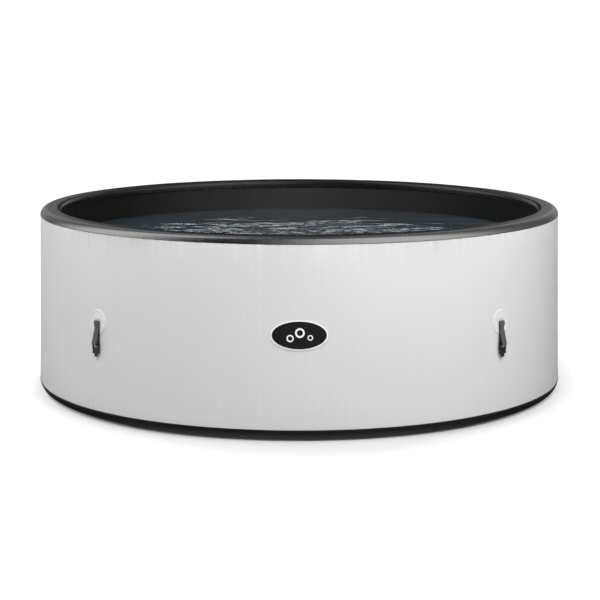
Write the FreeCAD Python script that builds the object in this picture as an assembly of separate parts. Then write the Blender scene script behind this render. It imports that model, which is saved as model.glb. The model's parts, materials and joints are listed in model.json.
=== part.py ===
"""Round inflatable hot tub with a drop-stitch wall, for four to six bathers.

Millimetres, +Z up. The origin is the centre of the face that rests on the ground. The badge faces -Y and
the pipe fittings are at +Y. Angles run anticlockwise from +X, seen from above.

The wall is an air chamber: an outer skin and an inner skin held apart by drop-stitch yarns, closed by a
band over the rim and a band under the base. Everything that goes on or through the wall is drawn at
angle 0, where "x" is the distance from the tub's axis, and is then turned to its place.
"""

import FreeCAD, Part
import math
import os

from FreeCAD import Vector

# ---- Driving dimensions -------------------------------------------------------------------------
WALL_RADIUS = 975.0          # outer face of the outer skin
WALL_THICKNESS = 75.0        # outer face to inner face of the air chamber
TUB_HEIGHT = 670.0
SHEET = 1.2                  # thickness of every coated fabric sheet
GAP = 0.05                   # between sheets that lie on one another
LAP = 15.0                   # width of a welded overlap

RIM_SEAM_DROP = 25.0         # rim band's outer edge, below the top
RIM_INNER_SEAM_DROP = 31.0   # rim band's inner edge, below the top
OUTER_SHOULDER = 22.0        # rounding over the top, outside
INNER_SHOULDER = 14.0        # rounding over the top, inside
BASE_SEAM_Z = 40.0           # base band's upper edge
BASE_INSET = 37.0            # how far the wall pulls in at the ground
BASE_CURVE = 40.0            # height over which it pulls in
BASE_FLANGE_R = 880.0        # inner edge of the base band, under the floor

FLOOR_TOP = 24.0             # top of the insulating foam
FLOOR_SHEET_R = 928.0        # sheet that lies on the ground

YARN_COLUMNS = 36
YARN_ROWS = 5
YARN_RADIUS = 1.5
YARN_LOW, YARN_HIGH = 120.0, 600.0
YARN_END_GAP = 1.0

RING_TUBE_R = 14.0           # air bubble ring round the foot of the inner wall
RING_MAJOR_R = 883.5
RING_Z = 41.5
RING_HOLES = 60
RING_HOLE_R = 1.5

BADGE_Z = 349.0
BADGE_PLATE = (95.5, 50.0)   # half width and half height
BADGE_FACE = (90.0, 45.0)
BUBBLES = ((-30.0, -10.0, 12.0), (2.0, 8.0, 16.0), (36.0, -8.0, 9.0))  # across, up, radius

CLIP_Z = 349.0               # where the clips' webbing is held
CLIP_PATCH_Z = 343.0         # centre of the round patch behind it
CLIP_PATCH_R = 42.0
WEBBING_WIDTH = 25.4
WEBBING = 1.6                # thickness
CLIP_ANGLES = {"front_left": -135.0, "front_right": -45.0, "back_right": 45.0, "back_left": 135.0}

VALVE_ANGLE, VALVE_Z = 62.0, 300.0
DRAIN_ANGLE, DRAIN_Z = 118.0, 92.0
PORT_Z = 180.0
PORT_ANGLES = {"suction": 101.0, "return": 79.0}
PORT_BORE_R, PORT_TUBE_R = 16.0, 19.0
AIR_ANGLE, AIR_Z = 90.0, 300.0
AIR_BORE_R, AIR_TUBE_R = 13.0, 16.0
RISER_X, RISER_R, RISER_BORE_R = 958.0, 7.0, 5.0
RISER_BEND = 20.0
OUTER_TAPE_ANGLE = 150.0     # vertical weld of the outer skin
INNER_TAPE_ANGLE = 165.0     # vertical weld of the inner skin
TAPE_WIDTH = 36.0

FRONT = -90.0
INNER_RADIUS = WALL_RADIUS - WALL_THICKNESS
PATH_TOP = TUB_HEIGHT - SHEET - GAP      # top of the chamber, under the rim band
PATH_BOTTOM = 2 * (SHEET + GAP)          # bottom of the chamber, over the base band and ground sheet
AXIS = Vector(0, 0, 1)
ORIGIN = Vector(0, 0, 0)
OUTWARD = Vector(1, 0, 0)


# ---- Drawing helpers ----------------------------------------------------------------------------
def rounded_wire(corners, to_space):
    """Closed wire through (u, v, radius) corners; to_space turns (u, v) into a Vector."""
    count = len(corners)
    runs = []
    for i, (u, v, radius) in enumerate(corners):
        corner = Vector(u, v, 0)
        before = Vector(*corners[i - 1][:2], 0) - corner
        after = Vector(*corners[(i + 1) % count][:2], 0) - corner
        if radius <= 0:
            runs.append((corner, None, corner))
            continue
        half = before.getAngle(after) / 2
        before.normalize()
        after.normalize()
        reach = radius / math.tan(half)
        middle = (before + after).normalize() * (radius / math.sin(half) - radius)
        runs.append((corner + before * reach, corner + middle, corner + after * reach))
    edges = []
    for i, (start, middle, end) in enumerate(runs):
        if middle is not None:
            edges.append(Part.Arc(*[to_space(p.x, p.y) for p in (start, middle, end)]).toShape())
        following = runs[(i + 1) % count][0]
        if end.distanceToPoint(following) > 1e-6:
            edges.append(Part.makeLine(to_space(end.x, end.y), to_space(following.x, following.y)))
    return Part.Wire(edges)


def turned(corners, z):
    """Solid of revolution about the outward line at height z, from (x, distance from the line, radius)."""
    wire = rounded_wire(corners, lambda x, h: Vector(x, 0, z + h))
    return Part.Face(wire).revolve(Vector(0, 0, z), OUTWARD, 360)


def pipe(x0, x1, outer, inner, z):
    """Straight pipe, or rod if inner is 0, along the outward line at height z."""
    rod = Part.makeCylinder(outer, x1 - x0, Vector(x0, 0, z), OUTWARD)
    if inner <= 0:
        return rod
    return rod.cut(Part.makeCylinder(inner, x1 - x0 + 2, Vector(x0 - 1, 0, z), OUTWARD))


def plate(corners, x0, x1):
    """Outline of (y, z, radius) corners, thickened from x0 to x1."""
    wire = rounded_wire(corners, lambda y, z: Vector(x0, y, z))
    return Part.Face(wire).extrude(Vector(x1 - x0, 0, 0))


def side_plate(corners, width):
    """Outline of (x, z, radius) corners, thickened to a width centred on the plane y = 0."""
    wire = rounded_wire(corners, lambda x, z: Vector(x, -width / 2, z))
    return Part.Face(wire).extrude(Vector(0, width, 0))


def drum(radius):
    """Upright cylinder about the tub's axis, taller than the tub."""
    return Part.makeCylinder(radius, 2 * TUB_HEIGHT, Vector(0, 0, -TUB_HEIGHT / 2))


def curved(shape, low, high):
    """The part of a shape between two radii, so that it lies on the round wall."""
    return shape.common(drum(high)).cut(drum(low))


def disc(radius, z0, z1):
    return Part.makeCylinder(radius, z1 - z0, Vector(0, 0, z0))


def at(shape, angle):
    """Turn a shape drawn at angle 0 to its place round the tub."""
    placed = shape.copy()
    placed.rotate(ORIGIN, AXIS, angle)
    return placed


def fused(shapes):
    return shapes[0].multiFuse(shapes[1:]).removeSplitter()


# ---- The chamber's outline: each stretch gives its edge at a distance outside the chamber's face --------
def upright(x, z0, z1, side):
    return lambda d: Part.makeLine(Vector(x + side * d, 0, z0), Vector(x + side * d, 0, z1))


def level(z, x0, x1, side):
    return lambda d: Part.makeLine(Vector(x0, 0, z + side * d), Vector(x1, 0, z + side * d))


def shoulder(x, z, radius, degrees0, degrees1):
    def edge(d):
        ends = (degrees0, (degrees0 + degrees1) / 2, degrees1)
        points = [Vector(x + (radius + d) * math.cos(math.radians(a)), 0,
                         z + (radius + d) * math.sin(math.radians(a))) for a in ends]
        return Part.Arc(*points).toShape()
    return edge


def base_point(angle, d):
    """Point of the pulled-in foot of the wall, an ellipse's quarter, at a distance outside it."""
    c, s = math.cos(angle), math.sin(angle)
    normal = Vector(c / BASE_INSET, 0, s / BASE_CURVE).normalize()
    centre = Vector(WALL_RADIUS - BASE_INSET, 0, PATH_BOTTOM + BASE_CURVE)
    return centre + Vector(BASE_INSET * c, 0, BASE_CURVE * s) + normal * d


def base_angle(z):
    return math.asin((z - PATH_BOTTOM - BASE_CURVE) / BASE_CURVE)


def foot(angle0, angle1):
    def edge(d):
        steps = 12
        curve = Part.BSplineCurve()
        curve.interpolate([base_point(angle0 + (angle1 - angle0) * i / steps, d) for i in range(steps + 1)])
        return curve.toShape()
    return edge


def sheet(stretches, low, high):
    """Ring of sheet that follows the stretches, between two distances outside the chamber's face."""
    near = [stretch(low) for stretch in stretches]
    far = [stretch(high) for stretch in stretches]
    start = Part.makeLine(near[0].firstVertex(True).Point, far[0].firstVertex(True).Point)
    end = Part.makeLine(near[-1].lastVertex(True).Point, far[-1].lastVertex(True).Point)
    wire = Part.Wire(Part.__sortEdges__([start, *far, end, *near]))
    return Part.Face(wire).revolve(ORIGIN, AXIS, 360)


# ---- Wall, rim, base and floor --------------------------------------------------------------------
def opening(radius, angle, z, through=True):
    """Cutter for a hole through the wall, or through its outer skin alone."""
    start = INNER_RADIUS - 30 if through else WALL_RADIUS - 20
    return at(pipe(start, WALL_RADIUS + 30, radius, 0, z), angle)


def wall_openings():
    cutters = [opening(PORT_TUBE_R + 0.5, angle, PORT_Z) for angle in PORT_ANGLES.values()]
    cutters.append(opening(DRAIN_TUBE_R + 0.5, DRAIN_ANGLE, DRAIN_Z))
    cutters.append(opening(VALVE_BARREL_R + 0.5, VALVE_ANGLE, VALVE_Z, through=False))
    cutters.append(opening(AIR_TUBE_R + 0.5, AIR_ANGLE, AIR_Z, through=False))
    return cutters


def outer_wall_skin():
    start = base_angle(BASE_SEAM_Z - LAP)
    skin = sheet([
        foot(start, 0),
        upright(WALL_RADIUS, PATH_BOTTOM + BASE_CURVE, PATH_TOP - OUTER_SHOULDER, 1),
        shoulder(WALL_RADIUS - OUTER_SHOULDER, PATH_TOP - OUTER_SHOULDER, OUTER_SHOULDER, 0, 35),
    ], -SHEET, 0)
    return skin.cut(wall_openings())


def inner_wall_skin():
    skin = sheet([
        shoulder(INNER_RADIUS + INNER_SHOULDER, PATH_TOP - INNER_SHOULDER, INNER_SHOULDER, 140, 180),
        upright(INNER_RADIUS, PATH_TOP - INNER_SHOULDER, PATH_BOTTOM + GAP, -1),
    ], -SHEET, 0)
    riser_hole = at(pipe(INNER_RADIUS - 30, INNER_RADIUS + 20, RISER_R + 0.5, 0, RING_Z), AIR_ANGLE)
    return skin.cut([*wall_openings()[:len(PORT_ANGLES) + 1], riser_hole])


def rim_band():
    return sheet([
        upright(WALL_RADIUS, TUB_HEIGHT - RIM_SEAM_DROP, PATH_TOP - OUTER_SHOULDER, 1),
        shoulder(WALL_RADIUS - OUTER_SHOULDER, PATH_TOP - OUTER_SHOULDER, OUTER_SHOULDER, 0, 90),
        level(PATH_TOP, WALL_RADIUS - OUTER_SHOULDER, INNER_RADIUS + INNER_SHOULDER, 1),
        shoulder(INNER_RADIUS + INNER_SHOULDER, PATH_TOP - INNER_SHOULDER, INNER_SHOULDER, 90, 180),
        upright(INNER_RADIUS, PATH_TOP - INNER_SHOULDER, TUB_HEIGHT - RIM_INNER_SEAM_DROP, -1),
    ], GAP, GAP + SHEET)


def base_band():
    return sheet([
        level(PATH_BOTTOM, BASE_FLANGE_R, WALL_RADIUS - BASE_INSET, -1),
        foot(-math.pi / 2, base_angle(BASE_SEAM_Z)),
    ], GAP, GAP + SHEET)


def wall_tape(angle, face, side, bottom, top):
    """Vertical tape over a weld, on the outside (side 1) or inside (side -1) of the wall."""
    strip = Part.makeBox(80, TAPE_WIDTH, top - bottom, Vector(face - 40, -TAPE_WIDTH / 2, bottom))
    low, high = sorted((face + side * GAP, face + side * (GAP + SHEET / 2)))
    return at(curved(strip, low, high), angle)


def drop_stitch_yarns():
    inner = INNER_RADIUS + SHEET + YARN_END_GAP
    outer = WALL_RADIUS - SHEET - YARN_END_GAP
    yarns = []
    for column in range(YARN_COLUMNS):
        for row in range(YARN_ROWS):
            z = YARN_LOW + (YARN_HIGH - YARN_LOW) * row / (YARN_ROWS - 1)
            angle = (column + 0.5) * 360 / YARN_COLUMNS
            yarns.append(at(pipe(inner, outer, YARN_RADIUS, 0, z), angle))
    return Part.makeCompound(yarns)


def floor_seam_tape():
    wall = INNER_RADIUS - 2 * GAP
    floor = FLOOR_TOP + GAP + SHEET + GAP
    corners = [
        (wall, floor, 0), (wall, floor + 21, 0), (wall - SHEET, floor + 21, 0),
        (wall - SHEET, floor + SHEET, 1), (wall - 21, floor + SHEET, 0), (wall - 21, floor, 0),
    ]
    wire = rounded_wire(corners, lambda x, z: Vector(x, 0, z))
    riser_hole = at(pipe(wall - 25, wall + 5, RISER_R + 0.5, 0, RING_Z), AIR_ANGLE)
    return Part.Face(wire).revolve(ORIGIN, AXIS, 360).cut(riser_hole)


def bubble_ring():
    """Tube bent to a ring, with a row of fine air holes that point inward and up."""
    centre = Vector(RING_MAJOR_R, 0, RING_Z)
    outer, bore = [Part.makeCircle(r, centre, Vector(0, 1, 0)) for r in (RING_TUBE_R, RING_TUBE_R - SHEET)]
    for circle in (outer, bore):
        circle.rotate(centre, Vector(0, 1, 0), 180)
    section = Part.Face(Part.Wire([outer])).cut(Part.Face(Part.Wire([bore]))).Faces[0]
    cutters = [at(pipe(RING_MAJOR_R, INNER_RADIUS + 5, RISER_R + 0.3, 0, RING_Z), AIR_ANGLE)]
    jet_start = centre - Vector(2, 0, 2)
    for i in range(RING_HOLES):
        jet = Part.makeCylinder(RING_HOLE_R, RING_TUBE_R + 2, jet_start, Vector(-1, 0, 1))
        cutters.append(at(jet, (i + 0.5) * 360 / RING_HOLES))
    return section.revolve(ORIGIN, AXIS, 360).cut(cutters)


# ---- Badge ------------------------------------------------------------------------------------------
def oval(half_width, half_height, z):
    """Oval rod through the wall at the badge, long axis level."""
    ellipse = Part.Ellipse(ORIGIN, half_width, half_height).toShape()
    face = Part.Face(Part.Wire([ellipse]))
    face.rotate(ORIGIN, Vector(1, 1, 1), 120)      # its plane becomes upright, facing outward
    face.translate(Vector(WALL_RADIUS - 20, 0, z))
    return face.extrude(Vector(40, 0, 0))


def badge():
    """Oval plate, its dark face and a plain emblem of three bubbles, one on another."""
    plate_low = WALL_RADIUS + GAP
    face_low = plate_low + 2 + GAP
    emblem_low = face_low + 0.8 + GAP
    bubbles = []
    for across, up, radius in BUBBLES:
        rod = Part.makeCylinder(radius, 60, Vector(WALL_RADIUS - 20, across, BADGE_Z + up), OUTWARD)
        core = Part.makeCylinder(radius * 0.62, 60, Vector(WALL_RADIUS - 20, across, BADGE_Z + up), OUTWARD)
        bubbles.append(curved(rod.cut(core), emblem_low, emblem_low + 0.6))
    return {
        "badge_plate": at(curved(oval(*BADGE_PLATE, BADGE_Z), plate_low, plate_low + 2), FRONT),
        "badge_face": at(curved(oval(*BADGE_FACE, BADGE_Z), face_low, face_low + 0.8), FRONT),
        "badge_emblem": at(Part.makeCompound(bubbles), FRONT),
    }


# ---- Cover clips: a round patch, a sewn webbing loop and the male half of a side-release buckle -----------
LOOP_BAR_X = WALL_RADIUS + 8.5
LOOP_BAR_Z = CLIP_Z - 81.6
LOOP_BAR_R = 2.2
STRAP_HINGE_X = WALL_RADIUS + 4.3
STRAP_HINGE_Z = CLIP_Z - 1.0


def clip_patch():
    """Welded disc with a rounded edge, and a half-round tab that ends just above the webbing."""
    low = WALL_RADIUS + GAP
    base = curved(pipe(WALL_RADIUS - 10, WALL_RADIUS + 10, CLIP_PATCH_R - 2, 0, CLIP_PATCH_Z), low, low + 1.2)
    edge_r, edge_height = 5.0, 2.1
    edge_centre = Vector(WALL_RADIUS - edge_r + edge_height, 0, CLIP_PATCH_Z)
    edge = Part.makeTorus(CLIP_PATCH_R - 4, edge_r, edge_centre, OUTWARD).cut(drum(low))
    tab = pipe(WALL_RADIUS - 10, WALL_RADIUS + 10, 22, 0, CLIP_PATCH_Z)
    above = Part.makeBox(100, 100, 100, Vector(WALL_RADIUS - 50, -50, CLIP_Z + 3))
    return fused([base, edge, curved(tab.common(above), low, low + 2.4)])


def strap():
    """Webbing folded to a thick hem at its top, sewn at a waist, and open below it in a loop for the buckle."""
    inner = WALL_RADIUS + 2.7
    outer = WALL_RADIUS + 20.0
    sewn = inner + 2 * WEBBING
    hem = (inner + 6.8, CLIP_Z - 12)
    waist = CLIP_Z - 27
    low = CLIP_Z - 86
    slant = (outer - sewn) / (waist - low)
    layer = WEBBING * math.hypot(1, slant)
    outline = [
        (inner, STRAP_HINGE_Z, 1), (inner, low, 2.6), (outer, low, 2.2),
        (sewn, waist, 20), (*hem, 8), (sewn, STRAP_HINGE_Z, 1),
    ]
    below_waist = 4
    apex, hollow = waist - below_waist, low + WEBBING
    hole = [
        (inner + WEBBING, apex, 0.2), (inner + WEBBING, hollow, 1),
        (outer - slant * WEBBING - layer, hollow, 0.6), (sewn + slant * below_waist - layer, apex, 0.2),
    ]
    return side_plate(outline, WEBBING_WIDTH).cut(side_plate(hole, WEBBING_WIDTH + 2))


def buckle():
    """Frame round the webbing slot, two sprung side arms with barbs, and a longer middle tongue."""
    x0, x1 = LOOP_BAR_X - 3.2, LOOP_BAR_X + 3.2
    z = LOOP_BAR_Z
    low = z - 19.5
    rail_in, rail_out = WEBBING_WIDTH / 2 + 0.6, WEBBING_WIDTH / 2 + 3.4
    rail = side_plate([(x0, z + 4.5, 2.8), (x0, low, 1), (x1, low, 1), (x1, z + 4.5, 2.8)], rail_out - rail_in)
    rails = []
    for side in (-1, 1):
        rails.append(rail.translated(Vector(0, side * (rail_in + rail_out) / 2, 0)))
    bar = Part.makeCylinder(LOOP_BAR_R, 2 * rail_in + 2, Vector(LOOP_BAR_X, -rail_in - 1, z), Vector(0, 1, 0))
    cross = Part.makeBox(x1 - x0, 2 * rail_in + 2, 7.6, Vector(x0, -rail_in - 1, low))
    arm = [
        (9.4, low + 1, 0), (10.4, z - 26, 8), (10.8, z - 32.5, 1.2), (14.0, z - 33.5, 1.6),
        (16.4, z - 27, 1.2), (14.2, z - 25.4, 0.6), (14.4, low + 1, 0),
    ]
    arms = [plate(arm, x0 + 0.4, x1 - 0.4), plate([(-y, h, r) for y, h, r in reversed(arm)], x0 + 0.4, x1 - 0.4)]
    tongue = plate([(-7.2, low + 1, 0), (-7.0, z - 43.5, 3.0), (7.0, z - 43.5, 3.0), (7.2, low + 1, 0)],
                   x0 + 1.1, x1 - 1.1)
    return fused([*rails, bar, cross, *arms, tongue])


def clips():
    parts = {"clip_patches": Part.makeCompound([at(clip_patch(), a) for a in CLIP_ANGLES.values()])}
    for place, angle in CLIP_ANGLES.items():
        parts["strap_" + place] = at(strap(), angle)
        parts["buckle_" + place] = at(buckle(), angle)
    return parts


# ---- Inflation valve, on the outer skin: one-way plunger valve with a screw cap ----------------------------
VALVE_FLANGE_R = 31.0
VALVE_BARREL_R = 20.0
VALVE_BORE_R = 15.5
VALVE_NECK = 14.0            # how far the neck stands out
VALVE_DEPTH = 34.0
VALVE_STEM_R = 2.5
CAP_WALL = 2.6


def screw_cap(neck_r, neck_top, skirt, wall_clear, z):
    """Turned cap over a neck, with finger grips; the washer's seat is its flat inner end."""
    inner = neck_r + 0.5
    outer = inner + CAP_WALL
    top = neck_top + 2.0
    body = turned([
        (top, 0, 0), (top, inner, 0), (wall_clear, inner, 0), (wall_clear, outer, 0.8),
        (top + 3.2, outer - 0.6, 2.2), (top + 3.2, outer * 0.62, 0), (top + 2.2, outer * 0.55, 0),
        (top + 2.2, 0, 0),
    ], z)
    grips = []
    count = 24
    for i in range(count):
        angle = 2 * math.pi * i / count
        centre = Vector(wall_clear + 1, outer * math.cos(angle), z + outer * math.sin(angle))
        grips.append(Part.makeCylinder(0.9, skirt, centre, OUTWARD))
    return fused([body, *grips])


def flange(radius, inner, thickness, z, low):
    """Round flange whose back lies on the curved wall."""
    face = WALL_RADIUS + thickness
    body = turned([
        (WALL_RADIUS - 5, inner, 0), (WALL_RADIUS - 5, radius, 0), (face - 1.5, radius, 1.2),
        (face, radius - 4, 1), (face, inner, 0),
    ], z)
    return body.cut(drum(low))


def inflation_valve():
    x, z = WALL_RADIUS, VALVE_Z
    seat_low = x + GAP + 1.2
    barrel = pipe(x - VALVE_DEPTH, x + VALVE_NECK, VALVE_BARREL_R - 1.5, VALVE_BORE_R, z)
    thread = pipe(x - VALVE_DEPTH + 4, x + 3, VALVE_BARREL_R, VALVE_BORE_R, z)
    seat = pipe(x - VALVE_DEPTH, x - VALVE_DEPTH + 2.5, VALVE_BARREL_R - 1.5, 12.5, z)
    hub_x = x - 22
    hub = pipe(hub_x, hub_x + 4, 5, VALVE_STEM_R + 0.1, z)
    spokes = []
    for i in range(4):
        spoke = Part.makeBox(3, 2.5, VALVE_BORE_R - 3, Vector(hub_x + 0.5, -1.25, z + 4))
        spoke.rotate(Vector(0, 0, z), OUTWARD, 90 * i)
        spokes.append(spoke)
    housing = fused([flange(VALVE_FLANGE_R, VALVE_BARREL_R - 2, 4.5, z, seat_low + GAP), barrel, thread, seat,
                     hub, *spokes])
    gasket = curved(pipe(x - 5, x + 5, VALVE_FLANGE_R - 1, VALVE_BARREL_R + 0.3, z), x + GAP, seat_low)
    nut = curved(pipe(x - 12, x - 1, 27, VALVE_BARREL_R + 0.2, z), x - 9, x - SHEET - GAP)
    for i in range(12):
        notch = Part.makeBox(20, 4, 5, Vector(x - 15, -2, z + 25))
        notch.rotate(Vector(0, 0, z), OUTWARD, 30 * i)
        nut = nut.cut(notch)
    button_x = x - 4
    stem = pipe(x - VALVE_DEPTH - 4, button_x + 1, VALVE_STEM_R, 0, z)
    button = turned([(button_x, 0, 0), (button_x, 7, 0.6), (button_x + 3, 7, 1.4), (button_x + 3, 0, 0)], z)
    disc_plate = pipe(x - VALVE_DEPTH - 4, x - VALVE_DEPTH - 2, 13.5, 0, z)
    seal = pipe(x - VALVE_DEPTH - 2 + GAP, x - VALVE_DEPTH - GAP, 14.5, VALVE_STEM_R + 0.1, z)
    spring = helical_spring(hub_x + 4.6, button_x - 0.6, 4.6, 0.5, 5, z)
    neck_top = x + VALVE_NECK
    washer = pipe(neck_top + GAP, neck_top + 2 - GAP, VALVE_BARREL_R - 2, VALVE_BORE_R - 2.5, z)
    cap = screw_cap(VALVE_BARREL_R - 1.5, neck_top, VALVE_NECK - 4.5, x + 6, z)
    return {
        "valve_housing": housing, "valve_gasket": gasket, "valve_nut": nut,
        "valve_plunger": fused([stem, button, disc_plate]), "valve_seal": seal, "valve_spring": spring,
        "valve_cap_washer": washer, "valve_cap": cap,
    }


def helical_spring(x0, x1, radius, wire_radius, turns, z):
    """Coil spring along the outward line, between two stations."""
    length = x1 - x0 - 2 * wire_radius
    helix = Part.makeHelix(length / turns, length, radius)
    circle = Part.Wire([Part.makeCircle(wire_radius, Vector(radius, 0, 0), Vector(0, 1, 0))])
    coil = Part.Wire(helix).makePipeShell([circle], True, True)
    coil.rotate(ORIGIN, Vector(0, 1, 0), 90)
    coil.translate(Vector(x0 + wire_radius, 0, z))
    return coil


# ---- Pipe fittings through the wall --------------------------------------------------------------------
DRAIN_BORE_R, DRAIN_TUBE_R, DRAIN_SPIGOT = 10.0, 13.0, 26.0
PORT_SPIGOT = 44.0
STOPPER_CLEARANCE = 0.3


def through_pipe(bore, tube, flange_r, spigot, z):
    """Moulded pipe through both skins, with its flange outside."""
    x = WALL_RADIUS
    low = x + GAP + 1.5 + GAP
    run = turned([
        (INNER_RADIUS - 12, bore, 0), (INNER_RADIUS - 12, tube, 0.8), (x + spigot, tube, 1.0),
        (x + spigot, bore, 0.6),
    ], z)
    return fused([flange(flange_r, tube - 1, 6, z, low), run])


def wall_gaskets(tube, flange_r, nut_r, z):
    x = WALL_RADIUS
    outside = curved(pipe(x - 5, x + 5, flange_r - 2, tube + 0.6, z), x + GAP, x + GAP + 1.5)
    inside = curved(pipe(INNER_RADIUS - 8, INNER_RADIUS + 5, nut_r - 2, tube + 0.6, z),
                    INNER_RADIUS - GAP - 1.5, INNER_RADIUS - GAP)
    return [outside, inside]


def lock_nut(tube, nut_r, z):
    """Ring nut on the inner end of a fitting, with finger notches round it."""
    face = INNER_RADIUS - 2 * GAP - 1.5
    nut = turned([
        (face + 10, tube + 0.3, 0), (face + 10, nut_r, 0), (face - 8, nut_r, 2),
        (face - 9, tube + 3, 1), (face - 9, tube + 0.3, 0),
    ], z).common(drum(face))
    notches = []
    for i in range(8):
        notch = Part.makeCylinder(4, 40, Vector(face - 30, 0, z + nut_r + 1), OUTWARD)
        notch.rotate(Vector(0, 0, z), OUTWARD, 45 * i)
        notches.append(notch)
    return nut.cut(notches)


def stopper(bore, tube, z):
    """Rubber plug pushed into a fitting from inside the tub, with a pull tab."""
    mouth = INNER_RADIUS - 12
    plug = turned([
        (mouth - 4, 0, 0), (mouth - 4, tube + 2, 1.4), (mouth - GAP, tube + 2, 0.6),
        (mouth - GAP, bore - STOPPER_CLEARANCE, 0), (mouth + 16, bore - 1.2, 1.5), (mouth + 16, 0, 0),
    ], z)
    wire = rounded_wire([(mouth - 3, z - 8, 0), (mouth - 3, z + 8, 0), (mouth - 16, z + 6, 5),
                         (mouth - 16, z - 6, 5)], lambda x, h: Vector(x, -1.5, h))
    tab = Part.Face(wire).extrude(Vector(0, 3, 0))
    finger = Part.makeCylinder(3, 20, Vector(mouth - 10.5, -10, z), Vector(0, 1, 0))
    return fused([plug, tab.cut(finger)])


def water_ports():
    """Two fittings where the hoses of an outside heater and pump go on."""
    parts, gaskets, nuts = {}, [], []
    for name, angle in PORT_ANGLES.items():
        parts[name + "_fitting"] = at(through_pipe(PORT_BORE_R, PORT_TUBE_R, 36, PORT_SPIGOT, PORT_Z), angle)
        parts[name + "_stopper"] = at(stopper(PORT_BORE_R, PORT_TUBE_R, PORT_Z), angle)
        gaskets += [at(g, angle) for g in wall_gaskets(PORT_TUBE_R, 36, 34, PORT_Z)]
        nuts.append(at(lock_nut(PORT_TUBE_R, 34, PORT_Z), angle))
    parts["port_gaskets"] = Part.makeCompound(gaskets)
    parts["port_lock_nuts"] = Part.makeCompound(nuts)
    return parts


def drain():
    z, x = DRAIN_Z, WALL_RADIUS
    neck_top = x + DRAIN_SPIGOT
    parts = {
        "drain_fitting": through_pipe(DRAIN_BORE_R, DRAIN_TUBE_R, 28, DRAIN_SPIGOT, z),
        "drain_gaskets": Part.makeCompound(wall_gaskets(DRAIN_TUBE_R, 28, 26, z)),
        "drain_lock_nut": lock_nut(DRAIN_TUBE_R, 26, z),
        "drain_stopper": stopper(DRAIN_BORE_R, DRAIN_TUBE_R, z),
        "drain_cap_washer": pipe(neck_top + GAP, neck_top + 2 - GAP, DRAIN_TUBE_R, DRAIN_BORE_R - 1, z),
        "drain_cap": screw_cap(DRAIN_TUBE_R, neck_top, DRAIN_SPIGOT - 12, x + 11, z),
    }
    return {name: at(shape, DRAIN_ANGLE) for name, shape in parts.items()}


def bubbler():
    """Air inlet with a check ball, and the riser inside the wall that feeds the bubble ring."""
    x, z = WALL_RADIUS, AIR_Z
    low = x + GAP + 1.5 + GAP
    barrel = turned([
        (x - 30, 0, 0), (x - 30, AIR_TUBE_R, 1), (x + 32, AIR_TUBE_R, 1.0), (x + 32, AIR_BORE_R, 0.6),
        (x + 4, AIR_BORE_R, 0), (x + 4, 7.5, 0), (x + 2, 7.5, 0), (x + 2, AIR_BORE_R, 0),
        (x - 28, AIR_BORE_R, 0), (x - 28, 0, 0),
    ], z)
    outlet = Part.makeCylinder(RISER_R + 0.2, AIR_TUBE_R + 2, Vector(RISER_X, 0, z - AIR_TUBE_R - 2))
    fitting = fused([flange(30, AIR_TUBE_R - 1, 6, z, low), barrel]).cut(outlet)
    gasket = curved(pipe(x - 5, x + 5, 28, AIR_TUBE_R + 0.6, z), x + GAP, x + GAP + 1.5)
    ball_r = 10.0
    seat_reach = math.sqrt(ball_r ** 2 - 7.5 ** 2)
    ball = Part.makeSphere(ball_r, Vector(x + 2 - seat_reach - 0.1, 0, z))
    top = z - AIR_TUBE_R + 2
    bend_z = RING_Z + RISER_BEND
    bend_x = RISER_X - RISER_BEND
    diagonal = RISER_BEND * math.sqrt(0.5)
    path = Part.Wire([
        Part.makeLine(Vector(RISER_X, 0, top), Vector(RISER_X, 0, bend_z)),
        Part.Arc(Vector(RISER_X, 0, bend_z), Vector(bend_x + diagonal, 0, bend_z - diagonal),
                 Vector(bend_x, 0, RING_Z)).toShape(),
        Part.makeLine(Vector(bend_x, 0, RING_Z), Vector(RING_MAJOR_R + 6, 0, RING_Z)),
    ])
    tubes = [path.makePipeShell([Part.Wire([Part.makeCircle(r, Vector(RISER_X, 0, top), AXIS)])], True, False)
             for r in (RISER_R, RISER_BORE_R)]
    parts = {
        "air_fitting": fitting, "air_gasket": gasket, "air_check_ball": ball,
        "air_riser_hose": tubes[0].cut(tubes[1]),
    }
    return {name: at(shape, AIR_ANGLE) for name, shape in parts.items()}


# ---- Assembly --------------------------------------------------------------------------------------------
def all_parts():
    tape_bottom, tape_top = PATH_BOTTOM + BASE_CURVE, TUB_HEIGHT - RIM_SEAM_DROP - 1
    inner_bottom = FLOOR_TOP + GAP + SHEET + GAP + 22
    parts = {
        "outer_wall_skin": outer_wall_skin(),
        "inner_wall_skin": inner_wall_skin(),
        "drop_stitch_yarns": drop_stitch_yarns(),
        "rim_band": rim_band(),
        "base_band": base_band(),
        "outer_seam_tape": wall_tape(OUTER_TAPE_ANGLE, WALL_RADIUS, 1, tape_bottom, tape_top),
        "inner_seam_tape": wall_tape(INNER_TAPE_ANGLE, INNER_RADIUS, -1, inner_bottom,
                                     TUB_HEIGHT - RIM_INNER_SEAM_DROP - 1),
        "ground_sheet": disc(FLOOR_SHEET_R, 0, SHEET),
        "floor_foam": disc(INNER_RADIUS - 1, PATH_BOTTOM + GAP, FLOOR_TOP),
        "floor_sheet": disc(INNER_RADIUS - 0.5, FLOOR_TOP + GAP, FLOOR_TOP + GAP + SHEET),
        "floor_seam_tape": floor_seam_tape(),
        "bubble_ring": bubble_ring(),
    }
    parts.update(badge())
    parts.update(clips())
    parts.update({name: at(shape, VALVE_ANGLE) for name, shape in inflation_valve().items()})
    parts.update(water_ports())
    parts.update(drain())
    parts.update(bubbler())
    return parts


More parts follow.
